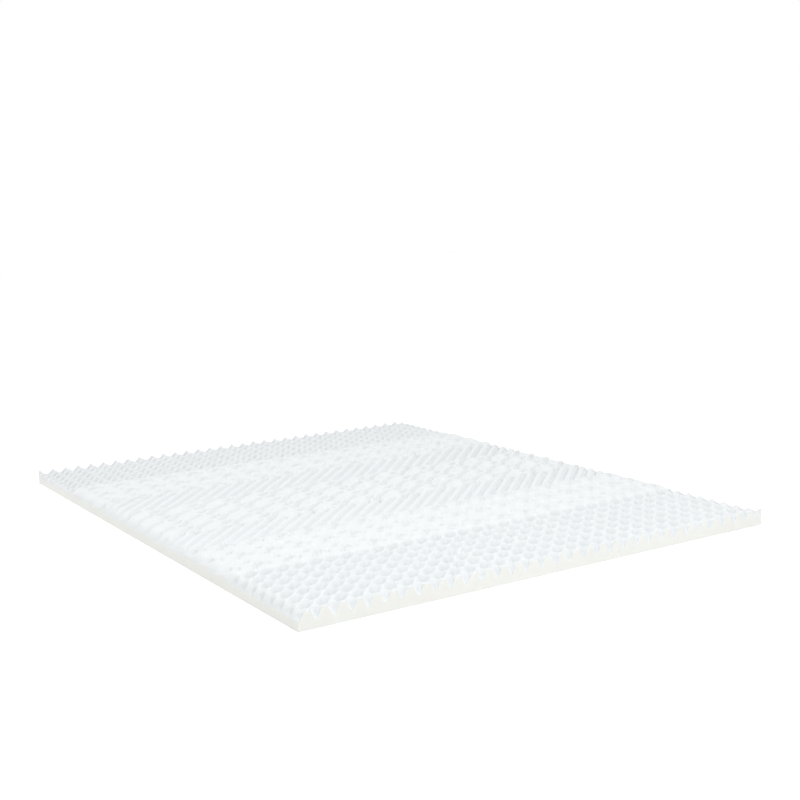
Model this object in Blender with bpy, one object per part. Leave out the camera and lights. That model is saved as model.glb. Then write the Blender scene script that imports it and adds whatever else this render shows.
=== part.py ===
# Zoned foam mattress topper: one block of soft foam, flat underneath, cut on top
# into seven bands of relief that lie across the bed.
# X is the width, Y the length from the near edge to the far one, Z is up.
# The origin is the middle of the flat underside.

import math
from collections import namedtuple

import bmesh
import bpy

# Driving sizes in metres
WIDTH = 1.600
LENGTH = 2.000
THICKNESS = 0.050

# Both long edges are cut through valleys, so they stand lower than the rest.
# They slope up inwards, and rise to full height at the corners that top_height names.
LOW_EDGE_SLOPE = 0.8
CORNER_RISE = 0.040

# Points closer than this along an axis lie in one row
SAME_PLACE = 0.0001

# Foam colour, as bare foam in daylight
FOAM_COLOUR = (0.90, 0.92, 0.93, 1.0)
FOAM_ROUGHNESS = 0.95

# A cut is a slot drawn from one point of a repeat of the pattern to another. The points
# are given in parts of the repeat's width and length, depth is how far the cut goes down,
# and reach is how far its walls spread. The walls are bell-shaped where crisp is 0, and
# scooped with a sharp rim where crisp is 1.
Cut = namedtuple("Cut", "start_x start_y end_x end_y depth reach crisp")

PATTERNS = {
    # dimples drawn out along the diagonal, with a low saddle between two
    "dimples": [
        Cut(-0.24, -0.24, 0.24, 0.24, 0.027, 0.0155, 0.7),
        Cut(0.00, 0.00, 1.00, 1.00, 0.004, 0.0140, 0.0),
    ],
    # pointed crests between channels that run both ways, with a dimple where they meet
    "crests": [
        Cut(-0.24, -0.24, 0.24, 0.24, 0.026, 0.0150, 0.5),
        Cut(0.00, 0.00, 0.00, 1.00, 0.018, 0.0240, 1.0),
        Cut(0.00, 0.00, 1.00, 0.00, 0.013, 0.0220, 1.0),
    ],
    # broad plates between small holes, with shallow hollows in the plates
    "plates": [
        Cut(-0.03, -0.04, 0.04, 0.05, 0.026, 0.0120, 0.3),
        Cut(0.23, -0.12, 0.27, -0.06, 0.018, 0.0100, 0.3),
        Cut(0.72, -0.30, 0.76, -0.22, 0.018, 0.0110, 0.3),
        Cut(0.70, -0.78, 0.78, -0.70, 0.018, 0.0100, 0.3),
        Cut(0.36, 0.16, 0.60, 0.36, 0.005, 0.0200, 0.5),
        Cut(0.12, 0.48, 0.30, 0.66, 0.005, 0.0180, 0.5),
    ],
    # straight ribs that run along the diagonal, rounded off at the top
    "ribs": [
        Cut(0.00, 0.00, 1.00, 1.00, 0.016, 0.0100, 0.0),
        Cut(0.00, 0.00, 1.00, 1.00, 0.005, 0.0170, 0.0),
    ],
    # large stepped blocks between long slots and deep holes
    "blocks": [
        Cut(-0.02, -0.03, 0.05, 0.06, 0.026, 0.0120, 0.3),
        Cut(0.05, 0.06, 0.24, 0.31, 0.015, 0.0080, 0.3),
        Cut(0.24, -0.57, 0.75, -0.02, 0.017, 0.0080, 0.3),
        Cut(-0.11, 0.37, 0.11, 0.63, 0.022, 0.0100, 0.3),
        Cut(0.42, 0.05, 0.60, 0.30, 0.005, 0.0200, 0.5),
    ],
}

# Bands from the near edge to the far edge, whose lengths add up to LENGTH. Across and
# along are the repeats that fit in the band, columns and rows are the mesh steps of one
# repeat, and shift_x and shift_y move the pattern by parts of a repeat. Left and right
# are the heights of the long edges, which wave once in each repeat by left_wave and
# right_wave.
Band = namedtuple(
    "Band",
    "pattern length across along columns rows shift_x shift_y left left_wave right right_wave",
)

BANDS = [
    Band("dimples", 0.375, 32.5, 7.5, 2, 2, 0.0, 0.0, 0.028, 0.001, 0.036, 0.005),
    Band("plates", 0.300, 17.5, 2.75, 4, 4, 0.75, 0.5, 0.031, 0.005, 0.037, 0.003),
    Band("ribs", 0.165, 32.5, 3.5, 2, 2, 0.0, 0.0, 0.028, 0.001, 0.037, 0.002),
    Band("blocks", 0.340, 12.5, 4.0, 6, 4, 1 / 6, 0.0, 0.028, 0.002, 0.034, 0.008),
    Band("ribs", 0.175, 32.5, 3.5, 2, 2, 0.0, 0.0, 0.026, 0.001, 0.038, 0.002),
    Band("plates", 0.290, 17.5, 2.75, 4, 4, 0.25, 0.75, 0.029, 0.004, 0.038, 0.003),
    Band("crests", 0.355, 33.0, 8.0, 2, 2, 0.385, 0.5, 0.026, 0.002, 0.042, 0.003),
]


def clear_objects():
    for item in list(bpy.data.objects):
        bpy.data.objects.remove(item, do_unlink=True)


def distance_to_line(x, y, start, end):
    # distance from a point to the straight stretch between two others
    along_x = end[0] - start[0]
    along_y = end[1] - start[1]
    squared = along_x * along_x + along_y * along_y
    share = ((x - start[0]) * along_x + (y - start[1]) * along_y) / squared
    share = min(max(share, 0.0), 1.0)
    return math.hypot(x - start[0] - share * along_x, y - start[1] - share * along_y)


def cut_depth(band, x, y):
    # deepest cut at a point whose y is measured from the band's near side
    repeat_x = WIDTH / band.across
    repeat_y = band.length / band.along
    local_x = (x / repeat_x + band.shift_x) % 1.0
    local_y = (y / repeat_y + band.shift_y) % 1.0
    deepest = 0.0
    for cut in PATTERNS[band.pattern]:
        for step_x in (-1, 0, 1):
            for step_y in (-1, 0, 1):
                start = ((cut.start_x + step_x) * repeat_x, (cut.start_y + step_y) * repeat_y)
                end = ((cut.end_x + step_x) * repeat_x, (cut.end_y + step_y) * repeat_y)
                gap = distance_to_line(local_x * repeat_x, local_y * repeat_y, start, end)
                if gap < cut.reach:
                    bell = 0.5 + 0.5 * math.cos(math.pi * gap / cut.reach)
                    scoop = math.cos(0.5 * math.pi * gap / cut.reach)
                    wall = bell + (scoop - bell) * cut.crisp
                    deepest = max(deepest, cut.depth * wall)
    return deepest


def edge_limit(edge_height, inside, to_corner):
    # highest the foam may stand at a distance inside a long edge and from its corner
    limit = min(edge_height + LOW_EDGE_SLOPE * inside, THICKNESS)
    rise = max(0.0, 1.0 - to_corner / CORNER_RISE)
    return limit + (THICKNESS - limit) * rise


def top_height(band, band_start, x, y):
    # the left edge rises at the far corner only, the right edge at both of its corners
    height = THICKNESS - cut_depth(band, x, y - band_start)
    repeats = (y - band_start) * band.along / band.length + band.shift_y
    wave = math.cos(2.0 * math.pi * repeats)
    left_limit = edge_limit(band.left + band.left_wave * wave, x, LENGTH - y)
    to_corner = min(y, LENGTH - y)
    right_limit = edge_limit(band.right + band.right_wave * wave, WIDTH - x, to_corner)
    return min(height, left_limit, right_limit)


def add_band(mesh, band, band_start, is_last):
    # One band as a grid whose points are raised to the relief. The last step of each
    # band but the last is left open, to be bridged to the next band.
    columns = round(band.across * band.columns)
    rows = round(band.along * band.rows)
    row_length = band.length / rows
    if not is_last:
        rows -= 1
    half = 0.5
    grid = bmesh.ops.create_grid(mesh, x_segments=columns, y_segments=rows, size=half)
    for point in grid["verts"]:
        point.co.x = (point.co.x + half) * WIDTH
        point.co.y = band_start + (point.co.y + half) * rows * row_length
        point.co.z = top_height(band, band_start, point.co.x, point.co.y)
    return grid["verts"]


def edges_across(points, place):
    # edges of the row of points that lies at one place along the bed
    row = {point for point in points if abs(point.co.y - place) < SAME_PLACE}
    edges = {edge for point in row for edge in point.link_edges}
    return [edge for edge in edges if edge.verts[0] in row and edge.verts[1] in row]


def add_relief(mesh):
    # all bands from the near edge on, each bridged to the one before it
    band_start = 0.0
    open_edges = []
    for number, band in enumerate(BANDS):
        is_last = number == len(BANDS) - 1
        points = add_band(mesh, band, band_start, is_last)
        if open_edges:
            first_edges = edges_across(points, band_start)
            bmesh.ops.bridge_loops(mesh, edges=open_edges + first_edges)
        open_edges = edges_across(points, max(point.co.y for point in points))
        band_start += band.length
    bmesh.ops.triangulate(mesh, faces=mesh.faces[:], quad_method="FIXED")


def wall_points(mesh, axis, place):
    # points of the relief on one cut side, in order along that side
    other = 1 - axis
    points = [point for point in mesh.verts if abs(point.co[axis] - place) < SAME_PLACE]
    return sorted(points, key=lambda point: point.co[other])


def add_sides(mesh):
    # four straight cut sides and one flat underside, each a single face
    left = wall_points(mesh, 0, 0.0)
    right = wall_points(mesh, 0, WIDTH)
    near = wall_points(mesh, 1, 0.0)
    far = wall_points(mesh, 1, LENGTH)
    near_left = mesh.verts.new((0.0, 0.0, 0.0))
    near_right = mesh.verts.new((WIDTH, 0.0, 0.0))
    far_right = mesh.verts.new((WIDTH, LENGTH, 0.0))
    far_left = mesh.verts.new((0.0, LENGTH, 0.0))
    mesh.faces.new(left + [far_left, near_left])
    mesh.faces.new(right + [far_right, near_right])
    mesh.faces.new(near + [near_right, near_left])
    mesh.faces.new(far + [far_right, far_left])
    mesh.faces.new([near_left, near_right, far_right, far_left])
    bmesh.ops.recalc_face_normals(mesh, faces=mesh.faces[:])


def foam_material():
    material = bpy.data.materials.new("bare_foam")
    material.use_nodes = True
    shader = material.node_tree.nodes["Principled BSDF"]
    shader.inputs["Base Color"].default_value = FOAM_COLOUR
    shader.inputs["Roughness"].default_value = FOAM_ROUGHNESS
    shader.inputs["Metallic"].default_value = 0.0
    material.diffuse_color = FOAM_COLOUR
    return material


def build_pad():
    mesh = bmesh.new()
    add_relief(mesh)
    add_sides(mesh)
    to_centre = (-WIDTH / 2, -LENGTH / 2, 0.0)
    bmesh.ops.translate(mesh, verts=mesh.verts[:], vec=to_centre)
    data = bpy.data.meshes.new("foam_pad")
    mesh.to_mesh(data)
    mesh.free()
    data.materials.append(foam_material())
    pad = bpy.data.objects.new("foam_pad", data)
    bpy.context.scene.collection.objects.link(pad)
    return pad


clear_objects()
build_pad()
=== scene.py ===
import bmesh
import bpy
import numpy as np
from mathutils import Euler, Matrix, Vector, noise


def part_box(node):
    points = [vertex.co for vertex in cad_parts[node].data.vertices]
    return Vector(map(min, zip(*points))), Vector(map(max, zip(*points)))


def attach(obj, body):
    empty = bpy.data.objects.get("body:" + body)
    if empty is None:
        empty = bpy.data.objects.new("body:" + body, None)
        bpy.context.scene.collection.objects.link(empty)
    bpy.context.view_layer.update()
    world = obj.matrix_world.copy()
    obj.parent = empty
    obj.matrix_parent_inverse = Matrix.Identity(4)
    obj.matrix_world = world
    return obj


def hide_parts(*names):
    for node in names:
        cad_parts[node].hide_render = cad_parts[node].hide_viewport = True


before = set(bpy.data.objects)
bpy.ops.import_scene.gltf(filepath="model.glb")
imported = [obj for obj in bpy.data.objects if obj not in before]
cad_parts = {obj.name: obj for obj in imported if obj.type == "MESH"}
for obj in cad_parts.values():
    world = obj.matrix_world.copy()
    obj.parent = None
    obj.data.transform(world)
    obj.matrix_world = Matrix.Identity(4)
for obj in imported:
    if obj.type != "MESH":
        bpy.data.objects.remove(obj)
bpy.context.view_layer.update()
padLow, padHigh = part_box("foam_pad")
print("the packed sheet is loaded")


# The sheet and its relief

sheet = {
    "width": padHigh.x - padLow.x,
    "length": padHigh.y - padLow.y,
    "thickness": padHigh.z - padLow.z,
    "edgeSlope": 0.8,  # both long edges are cut through valleys and slope up inwards
    "cornerRise": 0.040,  # an edge regains full height this close to a corner
    "nearNarrow": 0.30,  # share by which the cuts narrow where they meet the near edge
    "nearNarrowReach": 0.022,
    "wallSteps": 3,  # cuts up the height of each side wall, which waver a little
    "wallWave": 0.0007,
    "wallWaveSize": 0.045,
    "wallSetBack": 0.5,  # part of the waver by which the walls stand back
    "sharpAngle": 1.4,  # an edge between two faces that turn more than this is sharp
    "samePlace": 0.0001,
}

# A cut runs from one point of a repeat to another, in parts of the repeat's sides. Its walls
# are bell-shaped where crisp is 0, and scooped with a sharp rim where crisp is 1.
cuts = {
    "dimples": [  # drawn out along the diagonal, with a low saddle between two
        dict(start=(-0.24, -0.24), end=(0.24, 0.24), depth=0.027, reach=0.0155, crisp=0.7),
        dict(start=(0.00, 0.00), end=(1.00, 1.00), depth=0.004, reach=0.0140, crisp=0.0),
    ],
    "crests": [  # pointed crests between channels that run both ways
        dict(start=(-0.24, -0.24), end=(0.24, 0.24), depth=0.026, reach=0.0150, crisp=0.5),
        dict(start=(0.00, 0.00), end=(0.00, 1.00), depth=0.018, reach=0.0240, crisp=1.0),
        dict(start=(0.00, 0.00), end=(1.00, 0.00), depth=0.013, reach=0.0220, crisp=1.0),
    ],
    "plates": [  # broad plates between small holes, with shallow hollows in the plates
        dict(start=(-0.03, -0.04), end=(0.04, 0.05), depth=0.026, reach=0.0120, crisp=0.3),
        dict(start=(0.23, -0.12), end=(0.27, -0.06), depth=0.018, reach=0.0100, crisp=0.3),
        dict(start=(0.72, -0.30), end=(0.76, -0.22), depth=0.018, reach=0.0110, crisp=0.3),
        dict(start=(0.70, -0.78), end=(0.78, -0.70), depth=0.018, reach=0.0100, crisp=0.3),
        dict(start=(0.36, 0.16), end=(0.60, 0.36), depth=0.005, reach=0.0200, crisp=0.5),
        dict(start=(0.12, 0.48), end=(0.30, 0.66), depth=0.005, reach=0.0180, crisp=0.5),
    ],
    "ribs": [  # straight ribs along the diagonal, rounded off at the top
        dict(start=(0.00, 0.00), end=(1.00, 1.00), depth=0.016, reach=0.0100, crisp=0.0),
        dict(start=(0.00, 0.00), end=(1.00, 1.00), depth=0.005, reach=0.0170, crisp=0.0),
    ],
    "blocks": [  # large stepped blocks between long slots and deep holes
        dict(start=(-0.02, -0.03), end=(0.05, 0.06), depth=0.026, reach=0.0120, crisp=0.3),
        dict(start=(0.05, 0.06), end=(0.24, 0.31), depth=0.015, reach=0.0080, crisp=0.3),
        dict(start=(0.24, -0.57), end=(0.75, -0.02), depth=0.017, reach=0.0080, crisp=0.3),
        dict(start=(-0.11, 0.37), end=(0.11, 0.63), depth=0.022, reach=0.0100, crisp=0.3),
        dict(start=(0.42, 0.05), end=(0.60, 0.30), depth=0.005, reach=0.0200, crisp=0.5),
    ],
}

# From the near edge to the far one: repeats across and along the band, steps in a repeat,
# the shift of the pattern in parts of a repeat, and for each long edge its height and how
# far it waves in a repeat
bands = [
    dict(cut="dimples", length=0.375, repeats=(32.5, 7.5), steps=(8, 8), shift=(0.0, 0.0),
         left=(0.028, 0.001), right=(0.036, 0.005)),
    dict(cut="plates", length=0.300, repeats=(17.5, 2.75), steps=(16, 16), shift=(0.75, 0.5),
         left=(0.031, 0.005), right=(0.037, 0.003)),
    dict(cut="ribs", length=0.165, repeats=(32.5, 3.5), steps=(8, 8), shift=(0.0, 0.0),
         left=(0.028, 0.001), right=(0.037, 0.002)),
    dict(cut="blocks", length=0.340, repeats=(12.5, 4.0), steps=(22, 14), shift=(1 / 6, 0.0),
         left=(0.028, 0.002), right=(0.034, 0.008)),
    dict(cut="ribs", length=0.175, repeats=(32.5, 3.5), steps=(8, 8), shift=(0.0, 0.0),
         left=(0.026, 0.001), right=(0.038, 0.002)),
    dict(cut="plates", length=0.290, repeats=(17.5, 2.75), steps=(16, 16), shift=(0.25, 0.75),
         left=(0.029, 0.004), right=(0.038, 0.003)),
    dict(cut="crests", length=0.355, repeats=(33.0, 8.0), steps=(8, 8), shift=(0.385, 0.5),
         left=(0.026, 0.002), right=(0.042, 0.003)),
]

# Soft foam never cuts quite evenly
unevenness = {
    "wander": 0.0014,  # how far the cuts stray sideways
    "wanderSize": 0.085,
    "wanderLayers": (1.5, 4.5),  # layers of the noise, so that no two follow each other
    "depthShare": 0.10,  # how much deeper or shallower a cut gets
    "depthSize": 0.060,
    "depthLayer": 7.5,
    "swell": 0.0007,  # slow rise and fall of the top, never above the full thickness
    "swellSize": 0.240,
    "swellLayer": 9.5,
}


def slowNoise(x, y, size, layer):
    return np.array([noise.noise(Vector((a / size, b / size, layer))) for a, b in zip(x, y)])


def distanceToLine(x, y, start, end):
    alongX, alongY = end[0] - start[0], end[1] - start[1]
    share = ((x - start[0]) * alongX + (y - start[1]) * alongY) / (alongX ** 2 + alongY ** 2)
    share = np.clip(share, 0.0, 1.0)
    return np.hypot(x - start[0] - share * alongX, y - start[1] - share * alongY)


def cutDepth(band, x, y, narrow):  # y is measured from the band's near side
    repeatX = sheet["width"] / band["repeats"][0]
    repeatY = band["length"] / band["repeats"][1]
    localX = (x / repeatX + band["shift"][0]) % 1.0 * repeatX
    localY = (y / repeatY + band["shift"][1]) % 1.0 * repeatY
    deepest = np.zeros_like(x)
    for cut in cuts[band["cut"]]:
        for stepX in (-1, 0, 1):
            for stepY in (-1, 0, 1):
                start = ((cut["start"][0] + stepX) * repeatX, (cut["start"][1] + stepY) * repeatY)
                end = ((cut["end"][0] + stepX) * repeatX, (cut["end"][1] + stepY) * repeatY)
                gap = distanceToLine(localX, localY, start, end) / (cut["reach"] * narrow)
                gap = np.minimum(gap, 1.0)
                bell = 0.5 + 0.5 * np.cos(np.pi * gap)
                scoop = np.cos(0.5 * np.pi * gap)
                wall = bell + (scoop - bell) * cut["crisp"]
                deepest = np.maximum(deepest, cut["depth"] * wall)
    return deepest


def edgeLimit(edge, wave, inside, toCorner):
    edgeHeight = edge[0] + edge[1] * wave
    limit = np.minimum(edgeHeight + sheet["edgeSlope"] * inside, sheet["thickness"])
    rise = np.clip(1.0 - toCorner / sheet["cornerRise"], 0.0, 1.0)
    return limit + (sheet["thickness"] - limit) * rise


def topHeight(band, bandStart, x, y):
    layerX, layerY = unevenness["wanderLayers"]
    wanderX = unevenness["wander"] * slowNoise(x, y, unevenness["wanderSize"], layerX)
    wanderY = unevenness["wander"] * slowNoise(x, y, unevenness["wanderSize"], layerY)
    depthNoise = slowNoise(x, y, unevenness["depthSize"], unevenness["depthLayer"])
    deeper = 1.0 + unevenness["depthShare"] * depthNoise
    swellNoise = slowNoise(x, y, unevenness["swellSize"], unevenness["swellLayer"])
    swell = unevenness["swell"] * (swellNoise - 1.0)
    narrow = 1.0 - sheet["nearNarrow"] * np.clip(1.0 - y / sheet["nearNarrowReach"], 0.0, 1.0)
    depth = cutDepth(band, x + wanderX, y - bandStart + wanderY, narrow)
    height = sheet["thickness"] + swell - deeper * depth
    repeats = (y - bandStart) * band["repeats"][1] / band["length"] + band["shift"][1]
    wave = np.cos(2.0 * np.pi * repeats)
    leftLimit = edgeLimit(band["left"], wave, x, sheet["length"] - y)
    toCorner = np.minimum(y, sheet["length"] - y)
    rightLimit = edgeLimit(band["right"], wave, sheet["width"] - x, toCorner)
    return np.minimum(height, np.minimum(leftLimit, rightLimit))


def addBand(mesh, band, bandStart, isLast):
    columns = round(band["repeats"][0] * band["steps"][0])
    rows = round(band["repeats"][1] * band["steps"][1])
    rowLength = band["length"] / rows
    if not isLast:
        rows -= 1  # the last step is bridged to the next band
    half = 0.5
    points = bmesh.ops.create_grid(mesh, x_segments=columns, y_segments=rows, size=half)["verts"]
    bmesh.ops.translate(mesh, verts=points, vec=(half, half, 0.0))
    bmesh.ops.scale(mesh, verts=points, vec=(sheet["width"], rows * rowLength, 1.0))
    bmesh.ops.translate(mesh, verts=points, vec=(0.0, bandStart, 0.0))
    places = np.array([point.co for point in points])
    heights = topHeight(band, bandStart, places[:, 0], places[:, 1])
    for point, height in zip(points, heights):
        point.co.z = height
    return points


def edgesAcross(points, place):
    row = {point for point in points if abs(point.co.y - place) < sheet["samePlace"]}
    edges = {edge for point in row for edge in point.link_edges}
    return [edge for edge in edges if edge.verts[0] in row and edge.verts[1] in row]


def addRelief(mesh):
    bandStart = 0.0
    openEdges = []
    for number, band in enumerate(bands):
        points = addBand(mesh, band, bandStart, number == len(bands) - 1)
        if openEdges:
            bmesh.ops.bridge_loops(mesh, edges=openEdges + edgesAcross(points, bandStart))
        openEdges = edgesAcross(points, max(point.co.y for point in points))
        bandStart += band["length"]
        print("band", number + 1, "of", len(bands), "is cut:", band["cut"])
    bmesh.ops.triangulate(mesh, faces=mesh.faces[:], quad_method="FIXED")


def onSide(point):  # the outward direction of the cut side that a point lies on, if any
    for axis, far in ((0, sheet["width"]), (1, sheet["length"])):
        for place, sign in ((0.0, -1.0), (far, 1.0)):
            if abs(point.co[axis] - place) < sheet["samePlace"]:
                return Vector((sign, 0.0, 0.0)) if axis == 0 else Vector((0.0, sign, 0.0))
    return None


def addSides(mesh):
    rim = [edge for edge in mesh.edges if edge.is_boundary]
    made = bmesh.ops.extrude_edge_only(mesh, edges=rim)["geom"]
    lowPoints = [item for item in made if isinstance(item, bmesh.types.BMVert)]
    walls = [item for item in made if isinstance(item, bmesh.types.BMFace)]
    for point in lowPoints:
        point.co.z = 0.0
    lowRim = [edge for edge in mesh.edges if edge.is_boundary]
    bmesh.ops.contextual_create(mesh, geom=lowRim)  # the underside
    upright = {edge for face in walls for edge in face.edges} - set(rim) - set(lowRim)
    cutUp = bmesh.ops.subdivide_edges(mesh, edges=list(upright), cuts=sheet["wallSteps"])
    for item in cutUp["geom_inner"]:
        if isinstance(item, bmesh.types.BMVert):
            outward = onSide(item)
            wave = noise.noise(item.co / sheet["wallWaveSize"])
            item.co += outward * sheet["wallWave"] * (wave - sheet["wallSetBack"])
    for edge in rim + lowRim:
        edge.smooth = False


def buildSheet():
    mesh = bmesh.new()
    addRelief(mesh)
    reliefFaces = set(mesh.faces)
    addSides(mesh)
    for face in mesh.faces:
        face.smooth = True
        face.material_index = 0 if face in reliefFaces else 1
    for edge in mesh.edges:
        if len(edge.link_faces) == 2 and edge.calc_face_angle() > sheet["sharpAngle"]:
            edge.smooth = edge.smooth and all(face in reliefFaces for face in edge.link_faces)
    bmesh.ops.recalc_face_normals(mesh, faces=mesh.faces[:])
    bmesh.ops.translate(mesh, verts=mesh.verts[:], vec=(padLow.x, padLow.y, padLow.z))
    data = bpy.data.meshes.new("foam_sheet")
    mesh.to_mesh(data)
    mesh.free()
    piece = bpy.data.objects.new("foam_sheet", data)
    bpy.context.scene.collection.objects.link(piece)
    print("the sheet is cut:", len(data.polygons), "faces")
    return piece


# Foam finishes

foamLooks = {  # each colour drifts towards its patch colour in wide soft patches
    "reliefColour": (0.892, 0.918, 0.930, 1.0),
    "reliefPatch": (0.858, 0.886, 0.900, 1.0),
    "cutColour": (0.822, 0.832, 0.798, 1.0),
    "cutPatch": (0.805, 0.808, 0.774, 1.0),
    "roughness": 0.95,
    "sheen": 0.20,
    "scatter": 0.15,
    "scatterDepth": 0.005,
    "scatterRadius": (1.0, 1.0, 1.0),
    "cellSize": 0.0016,
    "cellDetail": 3.0,
    "cellBump": 0.5,
    "cellDepth": 0.0006,
    "patchSize": 0.130,
    "patchDetail": 2.0,
    "paintedShadeTone": 0.885,  # painted shade: share of the colour that is left in the bottom of the cuts
    "deepZ": 0.024,  # height where the painted shade is full, and below topZ it begins
    "topZ": 0.049,
    "paintedShadeFadeReach": 0.035,  # the painted shade fades out this far in from the near edge, so the cuts stay light there
}


def openCellsGroup():
    group = bpy.data.node_groups.new("openCells", "ShaderNodeTree")
    face = group.interface
    face.new_socket(name="Place", in_out="INPUT", socket_type="NodeSocketVector")
    face.new_socket(name="Cells per metre", in_out="INPUT", socket_type="NodeSocketFloat")
    face.new_socket(name="Patches per metre", in_out="INPUT", socket_type="NodeSocketFloat")
    face.new_socket(name="Height", in_out="OUTPUT", socket_type="NodeSocketFloat")
    face.new_socket(name="Patch", in_out="OUTPUT", socket_type="NodeSocketFloat")
    nodes, links = group.nodes, group.links
    given = nodes.new("NodeGroupInput")
    result = nodes.new("NodeGroupOutput")
    cells = nodes.new("ShaderNodeTexVoronoi")
    cells.feature = "F1"
    fine = nodes.new("ShaderNodeTexNoise")
    fine.inputs["Detail"].default_value = foamLooks["cellDetail"]
    patches = nodes.new("ShaderNodeTexNoise")
    patches.inputs["Detail"].default_value = foamLooks["patchDetail"]
    both = nodes.new("ShaderNodeMath")
    both.operation = "MULTIPLY"
    links.new(given.outputs["Place"], cells.inputs["Vector"])
    links.new(given.outputs["Place"], fine.inputs["Vector"])
    links.new(given.outputs["Place"], patches.inputs["Vector"])
    links.new(given.outputs["Cells per metre"], cells.inputs["Scale"])
    links.new(given.outputs["Cells per metre"], fine.inputs["Scale"])
    links.new(given.outputs["Patches per metre"], patches.inputs["Scale"])
    links.new(cells.outputs["Distance"], both.inputs[0])
    links.new(fine.outputs["Fac"], both.inputs[1])
    links.new(both.outputs["Value"], result.inputs["Height"])
    links.new(patches.outputs["Fac"], result.inputs["Patch"])
    return group


def addPaintedCutShade(nodes, links, place, colour):  # painted shade: darkens the colour with depth in the cuts, fading out towards the near edge
    parts = nodes.new("ShaderNodeSeparateXYZ")
    depth = nodes.new("ShaderNodeMapRange")
    depth.interpolation_type = "SMOOTHSTEP"
    depth.inputs["From Min"].default_value = foamLooks["deepZ"]
    depth.inputs["From Max"].default_value = foamLooks["topZ"]
    depth.inputs["To Min"].default_value = foamLooks["paintedShadeTone"]
    depth.inputs["To Max"].default_value = 1.0
    nearEdge = nodes.new("ShaderNodeMapRange")
    nearEdge.inputs["From Min"].default_value = padLow.y
    nearEdge.inputs["From Max"].default_value = padLow.y + foamLooks["paintedShadeFadeReach"]
    nearEdge.inputs["To Min"].default_value = 1.0
    nearEdge.inputs["To Max"].default_value = foamLooks["paintedShadeTone"]
    lighter = nodes.new("ShaderNodeMath")
    lighter.operation = "MAXIMUM"
    shade = nodes.new("ShaderNodeVectorMath")
    shade.operation = "SCALE"
    links.new(place, parts.inputs["Vector"])
    links.new(parts.outputs["Z"], depth.inputs["Value"])
    links.new(parts.outputs["Y"], nearEdge.inputs["Value"])
    links.new(depth.outputs["Result"], lighter.inputs[0])
    links.new(nearEdge.outputs["Result"], lighter.inputs[1])
    links.new(colour, shade.inputs["Vector"])
    links.new(lighter.outputs["Value"], shade.inputs["Scale"])
    return shade.outputs["Vector"]


def foamMaterial(name, colour, patch, withPaintedShade, openCells):
    material = bpy.data.materials.new(name)
    material.use_nodes = True
    nodes, links = material.node_tree.nodes, material.node_tree.links
    shader = nodes["Principled BSDF"]
    shader.inputs["Roughness"].default_value = foamLooks["roughness"]
    shader.inputs["Sheen Weight"].default_value = foamLooks["sheen"]
    shader.inputs["Subsurface Weight"].default_value = foamLooks["scatter"]
    shader.inputs["Subsurface Radius"].default_value = foamLooks["scatterRadius"]
    shader.inputs["Subsurface Scale"].default_value = foamLooks["scatterDepth"]
    place = nodes.new("ShaderNodeTexCoord")
    cells = nodes.new("ShaderNodeGroup")
    cells.node_tree = openCells
    cells.inputs["Cells per metre"].default_value = 1.0 / foamLooks["cellSize"]
    cells.inputs["Patches per metre"].default_value = 1.0 / foamLooks["patchSize"]
    mix = nodes.new("ShaderNodeMix")
    mix.data_type = "RGBA"
    mix.inputs["A"].default_value = colour
    mix.inputs["B"].default_value = patch
    bump = nodes.new("ShaderNodeBump")
    bump.inputs["Strength"].default_value = foamLooks["cellBump"]
    bump.inputs["Distance"].default_value = foamLooks["cellDepth"]
    links.new(place.outputs["Object"], cells.inputs["Place"])
    links.new(cells.outputs["Patch"], mix.inputs["Factor"])
    colourFrom = mix.outputs["Result"]
    # the relief gets painted shade deep in its cuts
    if withPaintedShade:
        colourFrom = addPaintedCutShade(nodes, links, place.outputs["Object"], colourFrom)
    links.new(colourFrom, shader.inputs["Base Color"])
    links.new(cells.outputs["Height"], bump.inputs["Height"])
    links.new(bump.outputs["Normal"], shader.inputs["Normal"])
    return material


# Floor, light and camera

studio = {
    "white": (1.0, 1.0, 1.0, 1.0),
    "floorSize": 30.0,
    "floorGap": 0.0004,
    "floorColour": (0.97, 0.97, 0.97, 1.0),
    "floorRoughness": 0.9,
    "floorGlow": 0.265,  # keeps the floor plain white next to the sheet
    "skyLow": 0.20,  # strength of the sky's light at the horizon and overhead
    "skyHigh": 1.06,
    "backdrop": 1.0,  # the backdrop itself is plain white to the camera
    "cameraPlace": (-2.1336, -3.5388, 1.0166),
    "cameraTurn": (1.4095, 0.0238, -0.5761),
    "cameraLens": 56.7,
    "cameraSensor": 36.0,
}


def addFloor():
    mesh = bmesh.new()
    bmesh.ops.create_grid(mesh, x_segments=1, y_segments=1, size=studio["floorSize"] / 2)
    bmesh.ops.translate(mesh, verts=mesh.verts[:], vec=(0.0, 0.0, padLow.z - studio["floorGap"]))
    data = bpy.data.meshes.new("floor")
    mesh.to_mesh(data)
    mesh.free()
    material = bpy.data.materials.new("floorWhite")
    material.use_nodes = True
    shader = material.node_tree.nodes["Principled BSDF"]
    shader.inputs["Base Color"].default_value = studio["floorColour"]
    shader.inputs["Roughness"].default_value = studio["floorRoughness"]
    shader.inputs["Emission Color"].default_value = studio["white"]
    shader.inputs["Emission Strength"].default_value = studio["floorGlow"]
    data.materials.append(material)
    floor = bpy.data.objects.new("floor", data)
    bpy.context.scene.collection.objects.link(floor)


lamps = {  # place, the point it shines at, size and power
    "farLamp": dict(place=(-2.0, 4.6, 2.6), aim=(0.0, 0.0, 0.0), size=2.2, power=58.0),
    "nearLamp": dict(place=(-0.3, -1.9, 3.0), aim=(0.0, -0.6, 0.0), size=2.5, power=31.0),
    "frontLamp": dict(place=(1.0, -4.5, 0.7), aim=(0.0, -1.0, 0.0), size=1.2, power=11.0),
}


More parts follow.
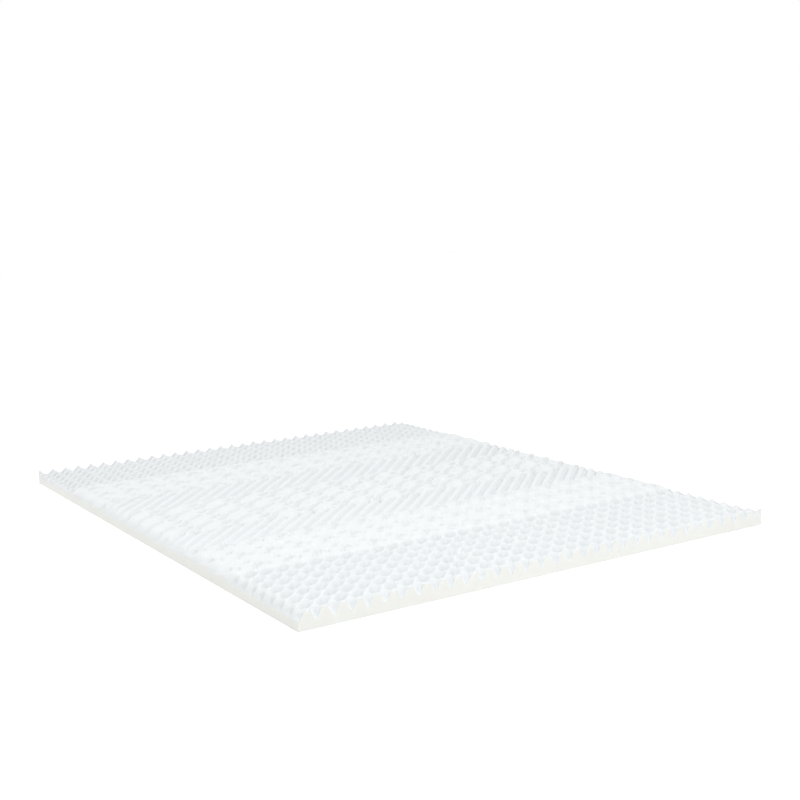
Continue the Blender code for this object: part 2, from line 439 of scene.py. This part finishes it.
def addLight():
    world = bpy.data.worlds.new("studio")
    world.use_nodes = True
    nodes, links = world.node_tree.nodes, world.node_tree.links
    background = nodes["Background"]
    background.inputs["Color"].default_value = studio["white"]
    direction = nodes.new("ShaderNodeTexCoord")
    parts = nodes.new("ShaderNodeSeparateXYZ")
    sky = nodes.new("ShaderNodeMapRange")
    sky.inputs["To Min"].default_value = studio["skyLow"]
    sky.inputs["To Max"].default_value = studio["skyHigh"]
    ray = nodes.new("ShaderNodeLightPath")
    seen = nodes.new("ShaderNodeMix")
    seen.inputs["B"].default_value = studio["backdrop"]
    links.new(direction.outputs["Generated"], parts.inputs["Vector"])
    links.new(parts.outputs["Z"], sky.inputs["Value"])
    links.new(ray.outputs["Is Camera Ray"], seen.inputs["Factor"])
    links.new(sky.outputs["Result"], seen.inputs["A"])
    links.new(seen.outputs["Result"], background.inputs["Strength"])
    bpy.context.scene.world = world
    for name, row in lamps.items():
        lamp = bpy.data.lights.new(name, "AREA")
        lamp.shape = "DISK"
        lamp.size = row["size"]
        lamp.energy = row["power"]
        holder = bpy.data.objects.new(name, lamp)
        holder.location = row["place"]
        toward = Vector(row["aim"]) - Vector(row["place"])
        holder.rotation_euler = toward.to_track_quat("-Z", "Y").to_euler()
        holder.visible_camera = False
        bpy.context.scene.collection.objects.link(holder)


def addCamera():
    lens = bpy.data.cameras.new("camera")
    lens.lens = studio["cameraLens"]
    lens.sensor_width = studio["cameraSensor"]
    camera = bpy.data.objects.new("camera", lens)
    camera.location = studio["cameraPlace"]
    camera.rotation_euler = Euler(studio["cameraTurn"])
    bpy.context.scene.collection.objects.link(camera)
    bpy.context.scene.camera = camera
    bpy.context.scene.view_settings.view_transform = "Standard"


foamSheet = buildSheet()
openCells = openCellsGroup()
for name, colour, patch, withPaintedShade in (
    ("foamRelief", foamLooks["reliefColour"], foamLooks["reliefPatch"], True),
    ("foamCut", foamLooks["cutColour"], foamLooks["cutPatch"], False),
):
    foamSheet.data.materials.append(foamMaterial(name, colour, patch, withPaintedShade, openCells))
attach(foamSheet, "root")
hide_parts("foam_pad")
print("the foam has its finish")

addFloor()
addLight()
addCamera()
print("the floor, light and camera are set")
